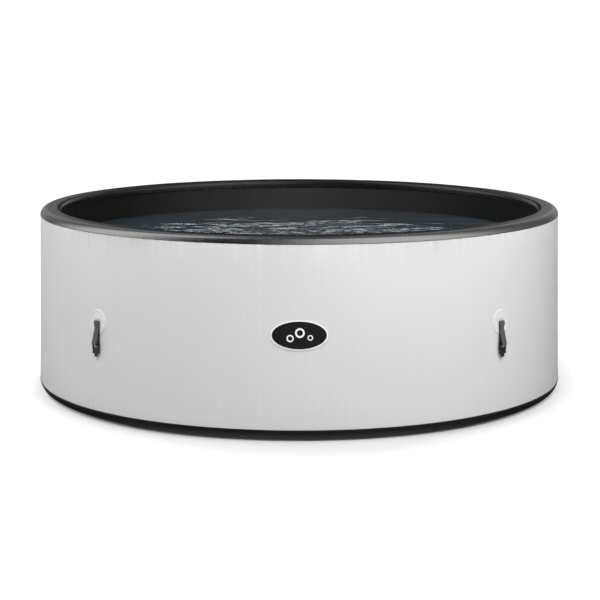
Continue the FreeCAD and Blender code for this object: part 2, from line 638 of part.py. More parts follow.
os.makedirs("parts", exist_ok=True)
for node, shape in all_parts().items():
    if not shape.isValid() or not shape.Solids:
        print("bad shape:", node, shape.ShapeType, len(shape.Solids))
    shape.exportStep(f"parts/{node}.step")
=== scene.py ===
"""Looks of the round inflatable hot tub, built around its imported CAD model. Metres, +Z up, badge at -Y."""
import bpy
import json
import math
import numpy as np
from mathutils import Matrix, Vector


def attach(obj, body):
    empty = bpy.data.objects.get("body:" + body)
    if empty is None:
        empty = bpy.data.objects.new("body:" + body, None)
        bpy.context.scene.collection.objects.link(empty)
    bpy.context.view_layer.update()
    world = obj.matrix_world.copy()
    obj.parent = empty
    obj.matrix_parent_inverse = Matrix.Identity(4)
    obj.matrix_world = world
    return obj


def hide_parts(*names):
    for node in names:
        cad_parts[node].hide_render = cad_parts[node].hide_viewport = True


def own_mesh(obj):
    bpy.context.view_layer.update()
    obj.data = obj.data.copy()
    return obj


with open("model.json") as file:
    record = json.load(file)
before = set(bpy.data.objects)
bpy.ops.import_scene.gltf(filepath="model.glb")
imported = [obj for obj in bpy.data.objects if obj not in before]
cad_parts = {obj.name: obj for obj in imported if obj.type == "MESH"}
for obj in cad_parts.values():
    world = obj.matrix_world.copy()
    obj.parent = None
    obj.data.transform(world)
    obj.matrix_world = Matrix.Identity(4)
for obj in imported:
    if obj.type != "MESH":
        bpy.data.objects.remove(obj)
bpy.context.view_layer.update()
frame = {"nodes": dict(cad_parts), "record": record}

# ---- Dimensions, in metres ------------------------------------------------------------------------
WALL_R = 0.975
INNER_R = 0.900
TOP = 0.670
SHEET = 0.0012
GAP = 0.00005
SKIN_DEPTH = 0.00004         # how far the skins' faces lie inside the chamber's outline
CHAMBER_TOP = TOP - SHEET - GAP
CHAMBER_BOTTOM = 2 * (SHEET + GAP)
OUTER_SHOULDER = 0.022
INNER_SHOULDER = 0.014
BASE_INSET = 0.037
BASE_CURVE = 0.040
BASE_FLANGE_R = 0.880
RIM_EDGE_Z = TOP - 0.025
RIM_INNER_EDGE_Z = TOP - 0.031
BASE_EDGE_Z = 0.038
LAP_Z = 0.023                # lower edge of the white skin, under the base band
WATER_Z = 0.551
WATER_R = INNER_R - 0.0015
WATER_THICKNESS = 0.012
RIPPLE_LENGTHS = (0.190, 0.140, 0.108, 0.086, 0.070, 0.058, 0.049, 0.042, 0.037, 0.033)
RIPPLE_STEEPNESS = 0.0068    # height of a wave over its length
RIBS = 228
RIB_PITCH = 2 * math.pi * WALL_R / RIBS
RIB_DEPTH = 0.00014
COLUMNS = 720                # faces round the tub, for all but the ribbed wall
CLIP_Z = 0.349
CLIP_ANGLES = {"front_left": -135, "front_right": -45, "back_right": 45, "back_left": 135}
WEBBING_WIDTH = 0.0254
WEBBING_THICKNESS = 0.0015
VALVE_ANGLE = 62
VALVE_Z = 0.300
SPRING_START = WALL_R - 0.0174
SPRING_LENGTH = 0.0128
SPRING_R = 0.0046
SPRING_TURNS = 5
SPRING_WIRE_R = 0.0005
# Round openings for the fittings: (angle, height, radius)
PIPE_OPENINGS = [(101, 0.180, 0.0195), (79, 0.180, 0.0195), (118, 0.092, 0.0135)]
OUTER_OPENINGS = PIPE_OPENINGS + [(VALVE_ANGLE, VALVE_Z, 0.0205), (90, 0.300, 0.0165)]
LINER_OPENINGS = PIPE_OPENINGS + [(90, 0.0415, 0.0075)]


# ---- Materials ------------------------------------------------------------------------------------
class Finish:
    """A Principled material, with short calls for the nodes behind it."""

    def __init__(self, name, **inputs):
        self.material = bpy.data.materials.new(name)
        self.material.use_nodes = True
        self.tree = self.material.node_tree
        self.shader = self.tree.nodes["Principled BSDF"]
        self.feed(self.shader, {key.replace("_", " "): value for key, value in inputs.items()})

    def feed(self, node, inputs):
        for key, value in inputs.items():
            if isinstance(value, bpy.types.NodeSocket):
                self.tree.links.new(value, node.inputs[key])
            else:
                node.inputs[key].default_value = value

    def node(self, kind, inputs=None, **settings):
        made = self.tree.nodes.new("ShaderNode" + kind)
        for key, value in settings.items():
            setattr(made, key, value)
        self.feed(made, inputs or {})
        return made

    def place(self, layer=None, scale=(1, 1, 1)):
        """Coordinates in metres: the object's own, or a named map of distances along the cloth."""
        if layer:
            source = self.node("UVMap", uv_map=layer).outputs["UV"]
        else:
            source = self.node("TexCoord").outputs["Object"]
        return self.node("Mapping", {"Vector": source, "Scale": scale}).outputs["Vector"]

    def noise(self, place, scale, detail=3.0, rough=0.55):
        inputs = {"Vector": place, "Scale": scale, "Detail": detail, "Roughness": rough}
        return self.node("TexNoise", inputs).outputs["Fac"]

    def wave(self, place, period, axis="X", warp=0.0):
        """Sine bands of a period in metres, along one axis. The texture has 20 radians to its unit."""
        inputs = {"Vector": place, "Scale": 2 * math.pi / 20 / period, "Distortion": warp, "Detail": 1.0}
        return self.node("TexWave", inputs, bands_direction=axis, wave_profile="SIN").outputs["Fac"]

    def maths(self, operation, a, b=0.5):
        return self.node("Math", {0: a, 1: b}, operation=operation).outputs[0]

    def spread(self, value, low, high):
        """A 0 to 1 value, spread from low to high."""
        inputs = {"Value": value, "To Min": low, "To Max": high}
        return self.node("MapRange", inputs).outputs["Result"]

    def share(self, value, start, end, low=0.0):
        """The value's way from start to end, as low to 1, and held at both ends."""
        inputs = {"Value": value, "From Min": start, "From Max": end, "To Min": low}
        return self.node("MapRange", inputs).outputs["Result"]

    def distance(self, scale):
        """Distance from the origin, with each axis scaled."""
        return self.node("VectorMath", {0: self.place(scale=scale)}, operation="LENGTH").outputs["Value"]

    def mix(self, share, a, b):
        inputs = {"Factor": share, 6: a, 7: b}
        return self.node("Mix", inputs, data_type="RGBA").outputs[2]

    def bump(self, height, depth, under=None):
        inputs = {"Height": height, "Distance": depth, "Strength": 1.0}
        if under:
            inputs["Normal"] = under
        return self.node("Bump", inputs).outputs["Normal"]

    def set(self, **inputs):
        self.feed(self.shader, {key.replace("_", " "): value for key, value in inputs.items()})
        return self.material


def grey(level, blue=1.0):
    return (level, level, level * blue, 1)


def coat(finish, colour, dusty, smooth, rough, grain=0.0011, depth=0.00005, under=None):
    """PVC coat: fine pebbled grain and a faint cloud of wear, with roughness that varies with it."""
    place = finish.place()
    cloud = finish.noise(place, 7, 4)
    smudge = finish.noise(place, 45, 3)
    pebble = finish.noise(place, 1 / grain, 2)
    share = finish.maths("MULTIPLY", cloud, smudge)
    soft = finish.bump(smudge, 0.00025, under)
    return finish.set(
        Base_Color=finish.mix(share, colour, dusty), Roughness=finish.spread(share, smooth, rough),
        Normal=finish.bump(pebble, depth, soft))


def coated_cloth(name, colour, dusty, rough, grain=0.0011):
    return coat(Finish(name), colour, dusty, rough - 0.08, rough + 0.14, grain)


def dull_black(name, shine, colour, dusty, smooth, rough):
    """Black coated cloth with a weak shine."""
    return coat(Finish(name, Specular_IOR_Level=shine), colour, dusty, smooth, rough)


def rim_cloth():
    """Black satin band, drawn out in fine lines round it, and duller towards the water."""
    finish = Finish("rim_black")
    outer = finish.share(finish.distance((1, 1, 0)), 0.912, 0.930)
    lines = finish.noise(finish.place("cloth", scale=(1.5, 160, 1)), 1, 2)
    finish.set(IOR=finish.spread(outer, 1.4, 2.6))
    return coat(finish, grey(0.005, 1.02), grey(0.010, 1.02), 0.22, 0.38, 0.0011, 0.00004,
                finish.bump(lines, 0.0003))


def wall_cloth():
    """White drop-stitch cloth: a fine weave under a pebbled coat, with painted shade in its rib grooves that
    grows at a slant.
    """
    finish = Finish("wall_white")
    cloth = finish.place("cloth")
    rows = finish.wave(cloth, 0.0042, "X")
    dashes = finish.wave(cloth, 0.0064, "Y", 0.6)
    dash = finish.maths("MULTIPLY", rows, dashes)
    cloud = finish.noise(finish.place(), 4, 4)
    pebble = finish.noise(cloth, 900, 2)
    tint = finish.mix(finish.spread(cloud, 0.0, 0.55), grey(0.70, 1.01), grey(0.65, 1.015))
    tint = finish.mix(finish.spread(dash, 0.0, 0.18), tint, grey(0.585, 1.02))
    # Painted shade: the rib grooves are coloured darker, more so at a slant, to stand for the shade held in
    # them.
    slant = finish.node("LayerWeight", {"Blend": 0.4}).outputs["Facing"]
    painted_groove_shade = finish.maths("MULTIPLY", finish.wave(cloth, RIB_PITCH, "X"), slant)
    tint = finish.mix(finish.spread(painted_groove_shade, 0.0, 0.45), tint, grey(0.585, 1.02))
    return finish.set(
        Base_Color=tint, Roughness=finish.spread(cloud, 0.42, 0.6),
        Normal=finish.bump(pebble, 0.00003, finish.bump(dash, 0.0001)), Specular_IOR_Level=0.35)


def moulded(name, colour, worn, rough, grain=0.0009, depth=0.00003, **inputs):
    """Moulded plastic or rubber: fine spark texture, faint wear on raised edges."""
    finish = Finish(name, **inputs)
    place = finish.place()
    spark = finish.noise(place, 1 / grain, 3)
    blotch = finish.noise(place, 60, 4)
    edge = finish.share(finish.node("NewGeometry").outputs["Pointiness"], 0.5, 0.62)
    wear = finish.maths("MULTIPLY", edge, blotch)
    tint = finish.mix(wear, colour, worn)
    tint = finish.mix(finish.spread(blotch, 0.0, 0.18), tint, worn)
    return finish.set(
        Base_Color=tint, Roughness=finish.spread(blotch, rough - 0.07, rough + 0.12),
        Normal=finish.bump(spark, depth))


def webbing_cloth():
    """Woven webbing: crossing yarns, with painted shade darkening the gaps between them."""
    finish = Finish("webbing_grey", Specular_IOR_Level=0.25)
    cloth = finish.place("cloth")
    across = finish.wave(cloth, 0.00115, "X")
    along = finish.wave(cloth, 0.0010, "Y", 1.0)
    yarn = finish.maths("MULTIPLY", across, along)
    fuzz = finish.noise(cloth, 1600, 3)
    # Painted shade: the low gaps of the weave are coloured darker than the yarns.
    tint = finish.mix(yarn, grey(0.035, 1.06), grey(0.105, 1.06))
    tint = finish.mix(finish.spread(fuzz, 0.0, 0.35), tint, grey(0.16, 1.06))
    under = finish.bump(yarn, 0.00016)
    return finish.set(Base_Color=tint, Roughness=finish.spread(fuzz, 0.75, 0.95),
                      Normal=finish.bump(fuzz, 0.00004, under), Sheen_Weight=0.15, Sheen_Roughness=0.6)


def thread_cloth():
    finish = Finish("thread", Roughness=0.7)
    twist = finish.noise(finish.place(), 2200, 2)
    tint = finish.mix(twist, grey(0.03), grey(0.12))
    return finish.set(Base_Color=tint, Normal=finish.bump(twist, 0.00005))


def water_body():
    """Dark clear water: fine ripples over the ones in its shape."""
    finish = Finish("water", IOR=1.333)
    place = finish.place()
    broad = finish.noise(place, 9, 3)
    fine = finish.noise(finish.place(scale=(0.5, 1.7, 1)), 48, 3)
    tint = finish.mix(broad, (0.020, 0.030, 0.036, 1), (0.034, 0.048, 0.057, 1))
    return finish.set(Base_Color=tint, Roughness=finish.spread(broad, 0.02, 0.05),
                      Normal=finish.bump(fine, 0.0009), Specular_IOR_Level=0.5)


def spring_wire():
    finish = Finish("spring_steel", Metallic=1.0)
    streak = finish.noise(finish.place(scale=(1, 1, 6)), 700, 2)
    return finish.set(Base_Color=finish.mix(streak, grey(0.55), grey(0.72)),
                      Roughness=finish.spread(streak, 0.22, 0.4), Normal=finish.bump(streak, 0.00001))


def foam_cells():
    finish = Finish("foam", Roughness=0.9)
    cells = finish.node("TexVoronoi", {"Vector": finish.place(), "Scale": 420.0}).outputs["Distance"]
    tint = finish.mix(cells, grey(0.58), grey(0.74))
    return finish.set(Base_Color=tint, Normal=finish.bump(cells, 0.0004))


FINISHES = (
    wall_cloth(),
    dull_black("liner_black", 0.1, grey(0.004, 1.03), grey(0.009, 1.03), 0.5, 0.7),
    rim_cloth(),
    dull_black("base_black", 0.25, grey(0.005, 1.05), grey(0.014, 1.02), 0.4, 0.6),
    coated_cloth("tape_white", grey(0.70, 1.01), grey(0.63, 1.01), 0.5),
    dull_black("tape_black", 0.1, grey(0.006, 1.04), grey(0.014, 1.04), 0.45, 0.6),
    foam_cells(),
    coated_cloth("yarn", grey(0.78, 0.97), grey(0.62, 0.95), 0.8, grain=0.0006),
    coated_cloth("ring_black", grey(0.02, 1.04), grey(0.045, 1.04), 0.42),
    moulded("badge_white", grey(0.95), grey(0.88), 0.28, depth=0.00001),
    moulded("badge_black", grey(0.004), grey(0.014), 0.45, depth=0.00001, Specular_IOR_Level=0.15),
    coated_cloth("patch_white", grey(0.74, 1.01), grey(0.68, 1.01), 0.40),
    webbing_cloth(),
    moulded("buckle_black", grey(0.004, 1.05), grey(0.02), 0.40, Specular_IOR_Level=0.3),
    moulded("valve_grey", grey(0.24, 1.03), grey(0.33), 0.42),
    moulded("valve_white", grey(0.72, 0.99), grey(0.62), 0.40),
    moulded("cap_grey", grey(0.17, 1.03), grey(0.27), 0.44),
    moulded("fitting_grey", grey(0.20, 1.03), grey(0.30), 0.42),
    moulded("gasket", grey(0.018), grey(0.04), 0.7, grain=0.0006),
    moulded("stopper_rubber", grey(0.03), grey(0.06), 0.62, grain=0.0006),
    spring_wire(),
    moulded("ball_white", grey(0.82, 0.96), grey(0.7, 0.94), 0.3),
    moulded("hose_clear", grey(0.66, 1.02), grey(0.58, 1.0), 0.3, Subsurface_Weight=0.2),
    thread_cloth(),
    water_body(),
)
# Blender numbers a name that the frame's own materials have already, such as foam.001.
MATERIALS = {material.name.split(".")[0]: material for material in FINISHES}


# ---- Mesh helpers -----------------------------------------------------------------------------------
def mesh_piece(name, points, faces, slot, material=None, cloth=None, body="tub"):
    """A piece from points and faces; cloth is one (along, across) pair for each corner of each face."""
    mesh = bpy.data.meshes.new(name)
    mesh.from_pydata([tuple(map(float, p)) for p in points], [], faces)
    if cloth is not None:
        layer = mesh.uv_layers.new(name="cloth")
        layer.data.foreach_set("uv", np.asarray(cloth, np.float32).ravel())
    mesh.polygons.foreach_set("use_smooth", [True] * len(mesh.polygons))
    mesh.materials.append(MATERIALS[material or slot])
    mesh.validate()
    mesh.update()
    piece = bpy.data.objects.new(name, mesh)
    bpy.context.scene.collection.objects.link(piece)
    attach(piece, body)
    return piece


def turn(mesh, angle):
    """Turns a mesh about the tub's axis, by an angle in degrees."""
    mesh.transform(Matrix.Rotation(math.radians(angle), 4, "Z"))


def grid_faces(rows, columns, wrap_rows, wrap_columns):
    """Quads over points numbered row by row, and the (row, column) of each corner, unwrapped."""
    down = np.arange(rows - (not wrap_rows))
    across = np.arange(columns - (not wrap_columns))
    r, c = np.meshgrid(down, across, indexing="ij")
    corners = np.stack([np.stack([r + dr, c + dc], -1) for dr, dc in ((0, 0), (1, 0), (1, 1), (0, 1))], 2)
    corners = corners.reshape(-1, 4, 2)
    faces = (corners[..., 0] % rows) * columns + corners[..., 1] % columns
    return faces, corners


def lathe(name, profile, columns, slot, relief=None, **options):
    """Turns a closed profile about Z. Its rows: (radius, height, normal out, normal up, length, relief)."""
    angles = np.arange(columns) * 2 * np.pi / columns
    push = np.zeros((columns, len(profile)))
    if relief:
        push = relief(angles[:, None], profile[None, :, 1]) * profile[None, :, 5]
    radius = profile[None, :, 0] + push * profile[None, :, 2]
    height = profile[None, :, 1] + push * profile[None, :, 3]
    points = np.stack([radius * np.cos(angles)[:, None], radius * np.sin(angles)[:, None],
                       height + 0 * angles[:, None]], -1)
    faces, corners = grid_faces(columns, len(profile), True, True)
    along = corners[..., 0] * 2 * np.pi / columns * profile[:, 0].max()
    lengths = np.append(profile[:, 4], profile[-1, 4] + 0.001)
    cloth = np.stack([along, lengths[corners[..., 1]]], -1)
    return mesh_piece(name, points.reshape(-1, 3), faces.tolist(), slot, cloth=cloth, **options)


def straight(x0, z0, x1, z1, nx, nz, count):
    """Straight stretch of the chamber's outline, as rows of point and normal."""
    share = np.linspace(0, 1, count)[:, None]
    points = np.array([[x0, z0]]) * (1 - share) + np.array([[x1, z1]]) * share
    return np.hstack([points, np.tile([[nx, nz]], (count, 1))])


def bend(x, z, rx, rz, start, end, count):
    """Curved stretch: part of an ellipse, angles in degrees."""
    a = np.radians(np.linspace(start, end, count))
    normal = np.stack([np.cos(a) / rx, np.sin(a) / rz], 1)
    normal /= np.linalg.norm(normal, axis=1)[:, None]
    return np.hstack([np.stack([x + rx * np.cos(a), z + rz * np.sin(a)], 1), normal])


def sheet_profile(stretches, low, high):
    """Closed profile of a sheet along the stretches. Its outer side comes first, and alone takes relief."""
    rows = np.vstack([s if i == 0 else s[1:] for i, s in enumerate(stretches)])
    length = np.append(0, np.cumsum(np.linalg.norm(np.diff(rows[:, :2], axis=0), axis=1)))
    sides = []
    for offset, share in ((high, 1.0), (low, 0.0)):
        points = rows[:, :2] + rows[:, 2:] * offset
        side = np.hstack([points, rows[:, 2:], length[:, None], np.full((len(rows), 1), share)])
        sides.append(side if share else side[::-1])
    sides[0][0, 5] = sides[0][-1, 5] = 0.0
    return np.vstack(sides)


def swell(angle, height, size):
    """Slow, low waves that an inflated wall always has."""
    return size * (
        np.sin(5 * angle + 0.7) * np.cos(4.1 * height + 0.3) + 0.6 * np.sin(11 * angle + 2.1 + 3 * height)
        + 0.4 * np.sin(23 * angle - 5 * height + 1.3))


def pucker(angle, size):
    """Short uneven gathers along a welded edge."""
    return size * (np.sin(90 * angle + 2 * np.sin(7 * angle)) * np.sin(31 * angle + 1.1)
                   + 0.6 * np.sin(171 * angle + 3 * np.sin(5 * angle)))


# ---- Wall, rim, base and liner ----------------------------------------------------------------------
BASE_CENTRE = (WALL_R - BASE_INSET, CHAMBER_BOTTOM + BASE_CURVE)


def foot_angle(z):
    """Where the foot's curve passes a height, in degrees below level."""
    return math.degrees(math.asin((z - BASE_CENTRE[1]) / BASE_CURVE))


def foot(start, end, count):
    return bend(*BASE_CENTRE, BASE_INSET, BASE_CURVE, start, end, count)


def outer_shoulder(end, count):
    return bend(WALL_R - OUTER_SHOULDER, CHAMBER_TOP - OUTER_SHOULDER, OUTER_SHOULDER, OUTER_SHOULDER,
                0, end, count)


def inner_shoulder(start, count):
    return bend(INNER_R + INNER_SHOULDER, CHAMBER_TOP - INNER_SHOULDER, INNER_SHOULDER, INNER_SHOULDER,
                start, 180, count)


def settle(piece):
    """Applies a piece's modifiers to its mesh."""
    done = bpy.data.meshes.new_from_object(piece.evaluated_get(bpy.context.evaluated_depsgraph_get()))
    piece.modifiers.clear()
    piece.data = done


def cut_openings(piece, openings):
    """Cuts round openings for the pipe fittings, each (angle, height, radius)."""
    for angle, z, radius in openings:
        steps = 48
        rods = []
        for x in (INNER_R - 0.03, WALL_R + 0.03):
            for i in range(steps):
                a = 2 * math.pi * i / steps
                rods.append((x, radius * math.cos(a), z + radius * math.sin(a)))
        sides = [(i, (i + 1) % steps, steps + (i + 1) % steps, steps + i) for i in range(steps)]
        mesh = bpy.data.meshes.new("cutter")
        mesh.from_pydata(rods, [], sides + [tuple(range(steps))[::-1], tuple(range(steps, 2 * steps))])
        turn(mesh, angle)
        cutter = bpy.data.objects.new("cutter", mesh)
        bpy.context.scene.collection.objects.link(cutter)
        modifier = piece.modifiers.new("opening", "BOOLEAN")
        modifier.object, modifier.operation, modifier.solver = cutter, "DIFFERENCE", "MANIFOLD"
        settle(piece)
        bpy.data.objects.remove(cutter)


def outer_wall():
    """White outer skin, from under the base band to under the rim band. Welds gather it at both bands."""
    def relief(angle, z):
        ribs = RIB_DEPTH * np.cos(RIBS * angle)
        edge = np.exp(-np.abs(RIM_EDGE_Z - z) / 0.022) + 0.6 * np.exp(-np.abs(z - BASE_EDGE_Z) / 0.02)
        return ribs + swell(angle, z, 0.00035) + pucker(angle, 0.00028) * edge
    hidden_z = RIM_EDGE_Z - 0.001
    wall = straight(WALL_R, BASE_CENTRE[1], WALL_R, hidden_z, 1, 0, 9)
    hidden = straight(WALL_R, hidden_z, WALL_R, CHAMBER_TOP - OUTER_SHOULDER, 1, 0, 2)
    stretches = [foot(foot_angle(LAP_Z), 0, 6), wall, hidden, outer_shoulder(35, 3)]
    profile = sheet_profile(stretches, -SHEET, -SKIN_DEPTH)
    under_bands = (profile[:, 1] > RIM_EDGE_Z) | (profile[:, 1] < BASE_EDGE_Z)
    profile[under_bands, 5] = 0
    piece = lathe("outer_wall", profile, RIBS * 9, "wall_white", relief)
    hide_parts("outer_wall_skin")
    cut_openings(piece, OUTER_OPENINGS)


def rim():
    """Black band over the top of the wall."""
    def relief(angle, z):
        return swell(angle, 0.2, 0.00025) + pucker(angle, 0.00007) * (z < TOP - 0.004)
    outer_side = straight(WALL_R, RIM_EDGE_Z, WALL_R, CHAMBER_TOP - OUTER_SHOULDER, 1, 0, 3)
    top = straight(WALL_R - OUTER_SHOULDER, CHAMBER_TOP, INNER_R + INNER_SHOULDER, CHAMBER_TOP, 0, 1, 9)
    inner_side = straight(INNER_R, CHAMBER_TOP - INNER_SHOULDER, INNER_R, RIM_INNER_EDGE_Z, -1, 0, 5)
    stretches = [outer_side, outer_shoulder(90, 14), top, inner_shoulder(90, 10), inner_side]
    piece = lathe("rim", sheet_profile(stretches, GAP, GAP + SHEET), COLUMNS, "rim_black", relief)
    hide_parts("rim_band")


def base():
    """Black band round the foot, with its flange under the wall."""
    def relief(angle, z):
        return swell(angle, 0.9, 0.0002) + pucker(angle, 0.0001)
    flange = straight(BASE_FLANGE_R, CHAMBER_BOTTOM, BASE_CENTRE[0], CHAMBER_BOTTOM, 0, -1, 3)
    profile = sheet_profile([flange, foot(-90, foot_angle(BASE_EDGE_Z), 16)], GAP, GAP + SHEET)
    profile[profile[:, 1] < 0.008, 5] = 0
    piece = lathe("base", profile, COLUMNS, "base_black", relief)
    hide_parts("base_band")


def liner():
    """Black inner skin, from under the rim band down to the floor."""
    def relief(angle, z):
        upper = np.exp(-np.abs(RIM_INNER_EDGE_Z - z) / 0.02)
        return swell(angle, z, 0.0003) + pucker(angle, 0.0003) * upper
    covered = straight(INNER_R, CHAMBER_TOP - INNER_SHOULDER, INNER_R, RIM_INNER_EDGE_Z, -1, 0, 3)
    wall = straight(INNER_R, RIM_INNER_EDGE_Z, INNER_R, CHAMBER_BOTTOM + GAP, -1, 0, 42)
    profile = sheet_profile([inner_shoulder(140, 4), covered, wall], -SHEET, -SKIN_DEPTH)
    profile[(profile[:, 1] > RIM_INNER_EDGE_Z - 0.0001) | (profile[:, 1] < 0.07), 5] = 0
    piece = lathe("liner", profile, COLUMNS, "liner_black", relief)
    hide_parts("inner_wall_skin")
    cut_openings(piece, LINER_OPENINGS)


# ---- Water --------------------------------------------------------------------------------------------
def ripples(x, y):
    """Height of the water's surface: crossing wave trains, calm near the back and at the left."""
    rng = np.random.default_rng(11)
    bent_x = x + 0.035 * np.sin(9 * y + 1) + 0.02 * np.sin(17 * x - 5 * y)
    bent_y = y + 0.03 * np.sin(8 * x + 2) + 0.015 * np.sin(15 * y + 7 * x)
    height = np.zeros_like(x)
    for length in RIPPLE_LENGTHS:
        for _ in range(2):
            heading, phase = rng.normal(np.pi / 2, 0.24), rng.uniform(0, 2 * np.pi)
            travel = bent_x * np.cos(heading) + bent_y * np.sin(heading)
            height += RIPPLE_STEEPNESS * length * np.sin(2 * np.pi / length * travel + phase)
    calm = 0.15 + 0.85 / (1 + np.exp((y - 0.43 - 0.12 * x) / 0.09))
    calm *= 0.45 + 0.55 / (1 + np.exp((-0.35 - x) / 0.07))
    calm *= 1.0 + 0.55 * np.sin(7.3 * x + 2.1 * y + 0.6) * np.sin(5.1 * y - 2.7 * x + 1.2)
    edge = np.clip((WATER_R - np.hypot(x, y)) / 0.05, 0, 1)
    return height * calm * (0.3 + 0.7 * edge)


def water():
    """Water as a thin rippled disc, from the liner's one side to the other."""
    rings = 122
    radius = WATER_R * (np.arange(rings) + 1) / rings
    angle = np.arange(COLUMNS) * 2 * np.pi / COLUMNS
    x = radius[:, None] * np.cos(angle)
    y = radius[:, None] * np.sin(angle)
    under_z = WATER_Z - WATER_THICKNESS
    top = np.stack([x, y, WATER_Z + ripples(x, y)], -1).reshape(-1, 3)
    under = np.stack([x[-1], y[-1], np.full(COLUMNS, under_z)], -1)
    middle_z = WATER_Z + ripples(np.zeros(1), np.zeros(1))[0]
    points = np.vstack([top, under, [[0, 0, middle_z], [0, 0, under_z]]])
    faces = grid_faces(rings, COLUMNS, False, True)[0].tolist()
    edge = (rings - 1) * COLUMNS
    low = rings * COLUMNS
    middle = low + COLUMNS
    under_middle = middle + 1
    for i in range(COLUMNS):
        j = (i + 1) % COLUMNS
        faces += [(middle, i, j), (edge + j, edge + i, low + i, low + j), (under_middle, low + j, low + i)]
    mesh_piece("water", points, faces, "water")


# ---- Cover clips ----------------------------------------------------------------------------------------
def loop_path(step=0.0008):
    """Middle line of the webbing: down the wall, round the loop, up over the hem, and folded in under it."""
    corners = [
        (0.0035, -0.0018, 0), (0.0035, -0.0852, 0.0028), (0.0192, -0.0852, 0.0022), (0.0051, -0.0270, 0.020),
        (0.0086, -0.0120, 0.008), (0.0069, -0.0026, 0.0009), (0.0051, -0.0026, 0.0008), (0.0058, -0.0160, 0),
    ]
    corners = [(WALL_R + x, CLIP_Z + z, radius) for x, z, radius in corners]
    points = [Vector(corners[0][:2])]
    for i in range(1, len(corners) - 1):
        corner, radius = Vector(corners[i][:2]), corners[i][2]
        before = (Vector(corners[i - 1][:2]) - corner).normalized()
        after = (Vector(corners[i + 1][:2]) - corner).normalized()
        half = before.angle(after) / 2
        reach = radius / math.tan(half)
        centre = corner + (before + after).normalized() * (radius / math.sin(half))
        start, end = corner + before * reach - centre, corner + after * reach - centre
        sweep = math.pi - 2 * half
        side = 1 if start.x * end.y - start.y * end.x > 0 else -1
        for k in range(13):
            a = side * sweep * k / 12
            points.append(centre + Vector((start.x * math.cos(a) - start.y * math.sin(a),
                                           start.x * math.sin(a) + start.y * math.cos(a))))
    points.append(Vector(corners[-1][:2]))
    line = np.array([tuple(p) for p in points])
    lengths = np.append(0, np.cumsum(np.linalg.norm(np.diff(line, axis=0), axis=1)))
    stations = np.linspace(0, lengths[-1], int(lengths[-1] / step))
    path = np.stack([np.interp(stations, lengths, line[:, k]) for k in (0, 1)], 1)
    tangent = np.gradient(path, axis=0)
    tangent /= np.linalg.norm(tangent, axis=1)[:, None]
    return path, np.stack([tangent[:, 1], -tangent[:, 0]], 1), stations


def webbing(place, angle):
    """One length of webbing, rounded at its edges, with the ribs of its weave; waisted where it is sewn."""
    path, normal, stations = loop_path()
    count, cords = 45, 11
    across = np.linspace(-1, 1, count)
    half = WEBBING_THICKNESS / 2 * (1 - 0.75 * np.abs(across) ** 14)
    ribs = 0.00009 * np.cos(np.pi * cords * across) * (1 - np.abs(across) ** 8)
    y = across * WEBBING_WIDTH / 2 * 0.985
    ring_y = np.append(y, y[::-1])
    ring_n = np.append(half + ribs, -(half + ribs)[::-1]) * 0.93
    rows, size = len(path), len(ring_y)
    drop = CLIP_Z - path[:, 1]
    width = 1 - 0.06 * np.exp(-((drop - 0.027) / 0.008) ** 2) + 0.02 * np.exp(-((drop - 0.011) / 0.006) ** 2)
    points = np.empty((rows, size, 3))
    points[..., 0] = path[:, :1] + normal[:, :1] * ring_n
    points[..., 1] = ring_y * width[:, None]
    points[..., 2] = path[:, 1:] + normal[:, 1:] * ring_n
    faces, corners = (part[:, ::-1] for part in grid_faces(rows, size, False, True))
    lengths = np.append(ring_y, ring_y[0])
    cloth = np.stack([lengths[corners[..., 1]], stations[corners[..., 0]]], -1)
    caps = [list(range(size))[::-1], list(range((rows - 1) * size, rows * size))]
    cloth = np.vstack([cloth.reshape(-1, 2), np.zeros((2 * size, 2))])
    piece = mesh_piece("webbing_" + place, points.reshape(-1, 3), faces.tolist() + caps, "webbing_grey",
                       cloth=cloth, body="strap_" + place)
    turn(piece.data, angle)
    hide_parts("strap_" + place)


def stitches(place, angle):
    """Thread over the hem: two rows across its waist, one near its top, and one down each side."""
    path = loop_path()[0]
    start = path[:, 0].argmax()
    layer = path[start:start + path[start:, 1].argmax()]
    waist, top, side = CLIP_Z - 0.0258, CLIP_Z - 0.0060, WEBBING_WIDTH / 2 - 0.0030
    spots = []
    for z in (waist, waist - 0.0024, top):
        spots += [(y, z, 1, 0) for y in np.linspace(-side, side, 8)]
    for y in (-side, side):
        spots += [(y, z, 0, 1) for z in np.linspace(waist + 0.003, top - 0.003, 5)]
    points, faces = [], []
    around, along = 8, 7
    for y, z, dy, dz in spots:
        first = len(points)
        face = np.interp(z, layer[:, 1], layer[:, 0]) + WEBBING_THICKNESS / 2 - 0.0001
        for i in range(along):
            t = -1 + 2 * (i + 0.5) / along
            thick = 0.0004 * math.sqrt(1 - t * t)
            for j in range(around):
                a = 2 * math.pi * j / around
                flat, lift = thick * math.cos(a), thick * math.sin(a)
                reach = 0.00125 * t
                points.append((face + lift, y + dy * reach + dz * flat, z + dz * reach + dy * flat))
        for i in range(along - 1):
            for j in range(around):
                k = (j + 1) % around
                faces.append([first + i * around + j, first + i * around + k,
                              first + (i + 1) * around + k, first + (i + 1) * around + j])
        faces.append([first + j for j in range(around)][::-1])
        faces.append([first + (along - 1) * around + j for j in range(around)])
    piece = mesh_piece("stitches_" + place, points, faces, "webbing_grey", "thread", body="strap_" + place)
    turn(piece.data, angle)


